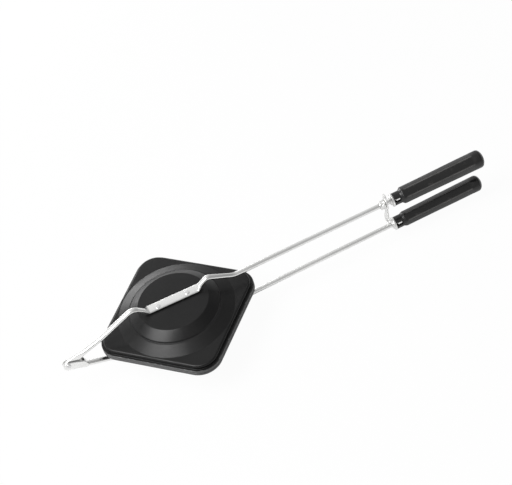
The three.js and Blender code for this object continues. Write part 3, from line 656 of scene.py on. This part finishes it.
def grip_cap(name, x, side, length, girth):
    """The cap: a spigot in the end of the grip under a dome. The dome's radius at a height is the root
    of 1 minus the square of its share of the dome's whole height, times the grip's end radius."""
    up = CAP_HIGH * np.sin(np.linspace(0.09, math.pi / 2, 16))
    dome = END_R * girth * np.sqrt(np.clip(1 - ((up + CAP_BACK) / (CAP_HIGH + CAP_BACK)) ** 2, 0.00001, None))
    spigot = [(TIP_R, -8), (3.9, -8), (4.4, -7.4), (4.5, -6.8), (4.5, 0.02), (dome[0] - CAP_SEAM, 0.02)]
    profile = np.concatenate((spigot, np.stack((dome, up), 1)))
    return outward(lathe(name, profile, *along_rod(length, x, side), 64), 40)


# Phenolic: black with a slight brown cast and fine filler grain. A light grey line along every ridge is a
# painted highlight, and patches on the edges are greyed by handling.
phenolic, tree, shader, place = material("grip_plastic")
edge = node(tree, "Attribute", attribute_name="edge").outputs["Fac"]
rubbed = placed(tree, rubbed_edge, Place=place, Edge=edge, Scale=180.0, Amount=0.5)["Mask"]
marks = placed(tree, use_marks, Place=place, Scale=70.0)
filler = noise(tree, place, 1500.0, 4.0, 0.6)
flow = noise(tree, place, 60.0, 3.0, distortion=1.5)
black = mixed(tree, flow, (0.005, 0.0049, 0.0048, 1), (0.011, 0.0107, 0.0104, 1))
flecked = mixed(tree, tone(tree, filler, 0.62, 0.78, 0, 0.45), black, (0.04, 0.039, 0.037, 1))
# The light grey line along every ridge, brighter where the flow cloud is, is a painted highlight; the rubbed
# patches joined to it are wear from handling.
painted_ridge_highlight_and_wear = times(tree, tone(tree, edge, 0.82, 1.0), tone(tree, flow, 0.35, 0.6, 0.6, 1.0))
painted_ridge_highlight_and_wear = maths(tree, "MAXIMUM", painted_ridge_highlight_and_wear, times(tree, rubbed, 0.5))
colour_with_painted_ridge_highlight = mixed(tree, painted_ridge_highlight_and_wear, flecked, (0.11, 0.107, 0.104, 1))
dulled = maths(tree, "ADD", times(tree, rubbed, 0.12), times(tree, marks["Scratches"], 0.1))
gloss = maths(tree, "ADD", tone(tree, marks["Smears"], 0, 1, 0.28, 0.4), dulled)
bumps = maths(tree, "ADD", times(tree, filler, 0.4), times(tree, marks["Scratches"], -0.3))
dress(tree, shader, colour_with_painted_ridge_highlight, gloss, bumps, 0.16, 0.0001)

# Each grip's side, where its neck starts, its length and its girth.
halves = (("upper", 1, UPPER_NECK_X, 98.5, 1.055), ("lower", -1, LOWER_NECK_X, 95.0, 0.94))
for half, side, x, length, girth in halves:
    made = grip("grip_" + half, x, side, length, girth)
    finish_with(made, phenolic, half + "_half", "grip_plastic", half + "_grip")
    cap = grip_cap("grip_end_" + half, x, side, length, girth)
    finish_with(cap, phenolic, half + "_half", "grip_plastic", half + "_grip_cap")

# Ferrules and cross pins.
# A cup of bright sheet steel closes the front of each neck, and a flat pin through the neck's slot
# keeps the grip on its wire. The steel is plated, with rolling grain, fine scratches and dull spots.
CUP_BORE_R = 2.75
NECK_PIN_AT, NECK_PIN_LONG, NECK_PIN_HIGH, NECK_PIN_HALF = 4.5, 2.5, 0.85, 4.4
sheet_steel, tree, shader, place = material("sheet_steel")
marks = placed(tree, use_marks, Place=place, Scale=140.0)
rolled = node(tree, "Mapping", {"Vector": place, "Scale": (1.0, 1.0, 0.05)})
grain = noise(tree, rolled.outputs[0], 3000.0, 2.0)
spots = tone(tree, noise(tree, place, 520.0, 5.0, 0.7), 0.58, 0.75)
shade = mixed(tree, times(tree, spots, 0.6), (0.84, 0.84, 0.83, 1), (0.55, 0.54, 0.52, 1))
gloss = maths(tree, "ADD", tone(tree, marks["Smears"], 0, 1, 0.36, 0.48), times(tree, spots, 0.15))
bumps = maths(tree, "ADD", times(tree, grain, 0.4), times(tree, marks["Scratches"], -0.4))
dress(tree, shader, shade, gloss, bumps, 0.2, 0.00006)
shader.inputs["Metallic"].default_value = 1.0

oblong, _ = rounded([(0, -NECK_PIN_HIGH, 0), (NECK_PIN_LONG, -NECK_PIN_HIGH, 0.8),
                     (NECK_PIN_LONG, NECK_PIN_HIGH, 0.8), (-NECK_PIN_LONG, NECK_PIN_HIGH, 0.8),
                     (-NECK_PIN_LONG, -NECK_PIN_HIGH, 0.8), (0, -NECK_PIN_HIGH, 0)])
oblong = oblong[:-1]
drawn_in = oblong * (0.92, 0.84)
for half, side, x, _, _ in halves:
    profile, _ = rounded([(CUP_BORE_R, -3.6, 0), (4.3, -3.6, 0.5), (5.2, -2.4, 0.6), (6.9, -1.9, 0.5),
                          (6.9, -0.1, 0.35), (CUP_BORE_R, -0.1, 0), (CUP_BORE_R, -3.6, 0)])
    cup = outward(lathe("ferrule_cup_" + half, profile[:-1], *along_rod(0, x, side), 64, loop=True))
    ends = ((drawn_in, -NECK_PIN_HALF - 0.2), (oblong, -NECK_PIN_HALF),
            (oblong, NECK_PIN_HALF), (drawn_in, NECK_PIN_HALF + 0.2))
    rings = np.array([np.insert(line + (NECK_PIN_AT, 0), 1, y, axis=1) for line, y in ends])
    pin = outward(skin("neck_pin_" + half, on_rod(rings, x, side)))
    finish_with(pin, plating, half + "_half", "plated_wire", half + "_cross_pin")
    finish_with(cup, sheet_steel, half + "_half", "sheet_steel", half + "_ferrule")

# The latch and its collar.
# A flat plate punched from sheet steel hangs on the upper wire: a thumb tab above, a round boss with
# the wire's hole, and a hook below that goes round the lower wire. A crimped ring holds it in place.
LATCH_X, LATCH_THICK, LATCH_TURN = 235.4, 1.4, math.radians(11.5)
LATCH_Z = rod_z(LATCH_X) + SEAM_MM
BOSS_R, LATCH_HALF, HOOK_R, THUMB, LATCH_BORE_R = 6.2, 3.5, 2.9, 15.2, 2.85
COLLAR_BACK, COLLAR_LONG, COLLAR_R = 6.0, 5.6, 4.6


def curve(start, towards, end, steps=7):
    """The curve from start to end that leaves and arrives along the lines to a third point."""
    t = np.linspace(0, 1, steps + 1)[:, None]
    start, towards, end = (np.array(p, float) for p in (start, towards, end))
    return (1 - t) ** 2 * start + 2 * t * (1 - t) * towards + t * t * end


drop = 2 * rod_z(LATCH_X)
top, bottom, lowest = HOOK_R - drop, -HOOK_R - drop, -HOOK_R - drop - 2.7
side_angle = math.degrees(math.acos(LATCH_HALF / BOSS_R))
w = LATCH_HALF
outline = np.concatenate((
    arc(0, THUMB - w, w, 0, 180),
    arc(0, 0, BOSS_R, 180 - side_angle, 180 + side_angle),
    curve((-w, top + 2.4), (-w, top + 0.4), (1 - w, top)),
    arc(0, -drop, HOOK_R, 90, -90),
    curve((1 - w, bottom), (-w, bottom - 0.4), (-w, bottom - 1.2)),
    curve((-w, bottom - 1.2), (-w, lowest), (1.6 - w, lowest))[1:],
    curve((w - 0.5, lowest), (w + 2.6, lowest), (w + 2.8, -drop)),
    curve((w + 2.8, -drop), (w + 2.6, top + 5), (w, top + 9))[1:],
    arc(0, 0, BOSS_R, -side_angle, side_angle)))
turned = np.array(Matrix.Rotation(LATCH_TURN, 2)) @ outline.T
latch = slab("latch_plate", turned.T + (0, LATCH_Z), LATCH_X, LATCH_X + LATCH_THICK, axis=0)
cut(latch, lathe("bore", [(LATCH_BORE_R, 0), (LATCH_BORE_R, 6)], (LATCH_X - 2, 0, LATCH_Z), (1, 0, 0)))
eased = latch.modifiers.new("eased_edges", "BEVEL")
eased.width, eased.segments, eased.limit_method = 0.25 * MM, 2, "ANGLE"
finish_with(latch, sheet_steel, "latch", "sheet_steel", "latch")

profile, _ = rounded([(BORE_R, 0, 0), (COLLAR_R, 0, 0.7), (COLLAR_R, COLLAR_LONG, 0.7),
                      (BORE_R, COLLAR_LONG, 0)])
base, direction = along_rod(0, LATCH_X - COLLAR_BACK, 1, 0)
collar = lathe("collar_ring", profile, base, direction, 64, loop=True)
facing = np.array((0, -math.sqrt(0.5), math.sqrt(0.5)))
mark_at = base + (COLLAR_LONG / 2, 0, 0) + facing * (COLLAR_R + 0.5)
cut(collar, lathe("mark", arc(0, 0, 1.6, -89, 89), mark_at, facing))
finish_with(collar, sheet_steel, "upper_half", "sheet_steel", "latch_collar")

# The floor, the light and the camera.
# A white floor with a soft shadow, a wide lamp high on the left, and a weak low one behind. The room is
# white to the camera. What metal mirrors of it is brightest towards the back, and darker overhead, in
# front and on the right.
FLOOR_HALF, FLOOR_SHOWN = 6, 0.96
floor_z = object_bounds()[0].z - 0.0002
corners = [(x * FLOOR_HALF, y * FLOOR_HALF, floor_z) for x, y in ((-1, -1), (1, -1), (1, 1), (-1, 1))]
floor = bpy.data.objects.new("floor", bpy.data.meshes.new("floor"))
floor.data.from_pydata(corners, [], [(0, 1, 2, 3)])
bpy.context.scene.collection.objects.link(floor)
paper, tree, shader, place = material("floor_paper")
shader.inputs["Base Color"].default_value = (0.9, 0.9, 0.9, 1)
shader.inputs["Roughness"].default_value = 0.9
shader.inputs["Specular IOR Level"].default_value = 0.0
rays = node(tree, "LightPath")
away = node(tree, "VectorMath", {0: place}, operation="LENGTH").outputs["Value"]
mirrored = times(tree, rays.outputs["Is Glossy Ray"], tone(tree, away, 0.13, 0.42, 0.06, 0.9))
seen = maths(tree, "MAXIMUM", times(tree, rays.outputs["Is Camera Ray"], FLOOR_SHOWN), mirrored)
glow = node(tree, "Emission", {"Color": (1, 1, 1, 1), "Strength": 1.0})
blend = node(tree, "MixShader", {0: seen, 1: shader.outputs[0], 2: glow.outputs[0]})
tree.links.new(blend.outputs[0], tree.nodes["Material Output"].inputs["Surface"])
floor.data.materials.append(paper)

world = bpy.data.worlds.new("room")
bpy.context.scene.world = world
world.use_nodes = True
tree = world.node_tree
backdrop = tree.nodes["Background"]
rays = node(tree, "LightPath")
towards = node(tree, "SeparateXYZ", {0: node(tree, "TexCoord").outputs["Generated"]}).outputs
front = tone(tree, towards["Y"], -0.55, 0.0, 0.7, 1.0)
overhead = tone(tree, towards["Y"], 0.25, 0.72, 0.55, 1.0)
behind = tone(tree, towards["Y"], 0.82, 1.0, 1.0, 0.45)
raised = tone(tree, towards["Z"], 0.05, 0.2, 0.1, 1.0)
right = times(tree, tone(tree, towards["X"], 0.05, 0.65, 0.0, 0.7), raised)
sky = times(tree, times(tree, overhead, front), times(tree, behind, maths(tree, "SUBTRACT", 1.0, right)))
seen = maths(tree, "MAXIMUM", rays.outputs["Is Camera Ray"], times(tree, sky, rays.outputs["Is Glossy Ray"]))
seen = maths(tree, "MAXIMUM", seen, rays.outputs["Is Transmission Ray"])
tree.links.new(mixed(tree, seen, (0.25, 0.25, 0.252, 1), (1, 1, 1, 1)), backdrop.inputs["Color"])
backdrop.inputs["Strength"].default_value = 1.0


def lamp(name, place, aim, width, height, power):
    """A rectangular lamp at a place, turned to face a point."""
    made = bpy.data.lights.new(name, "AREA")
    made.shape, made.size, made.size_y, made.energy = "RECTANGLE", width, height, power
    lit = bpy.data.objects.new(name, made)
    lit.location = place
    lit.rotation_mode = "QUATERNION"
    lit.rotation_quaternion = (Vector(aim) - Vector(place)).to_track_quat("-Z", "Y")
    bpy.context.scene.collection.objects.link(lit)


AIM = (0.0, 0.0, 0.02)
lamp("lamp_left", (-0.9, -0.12, 1.42), AIM, 0.95, 1.3, 29)
lamp("lamp_rear", (-0.1, 0.92, 0.14), AIM, 0.6, 0.26, 2.2)

# The camera looks down from the front and a little from the left, and is rolled. Its focal length is
# 2000 pixels for a picture 512 wide.
azimuth, elevation, roll = math.radians(-10.14), math.radians(47.341), math.radians(18.013)
back = Vector((math.sin(azimuth) * math.cos(elevation), -math.cos(azimuth) * math.cos(elevation),
               math.sin(elevation)))
level = Vector((math.cos(azimuth), math.sin(azimuth), 0))
up = back.cross(level)
across = level * math.cos(roll) - up * math.sin(roll)
upright = up * math.cos(roll) + level * math.sin(roll)
camera = bpy.data.objects.new("camera", bpy.data.cameras.new("camera"))
camera.data.sensor_width, camera.data.lens = 36.0, 36.0 * 2000 / 512
camera.data.clip_start, camera.data.clip_end = 0.05, 50.0
camera.location = (-0.1381, -1.31832, 1.50082 + SEAM_Z)
camera.rotation_mode = "QUATERNION"
camera.rotation_quaternion = Matrix((across, upright, back)).transposed().to_quaternion()
bpy.context.scene.collection.objects.link(camera)
bpy.context.scene.camera = camera
bpy.context.scene.view_settings.view_transform = "Standard"
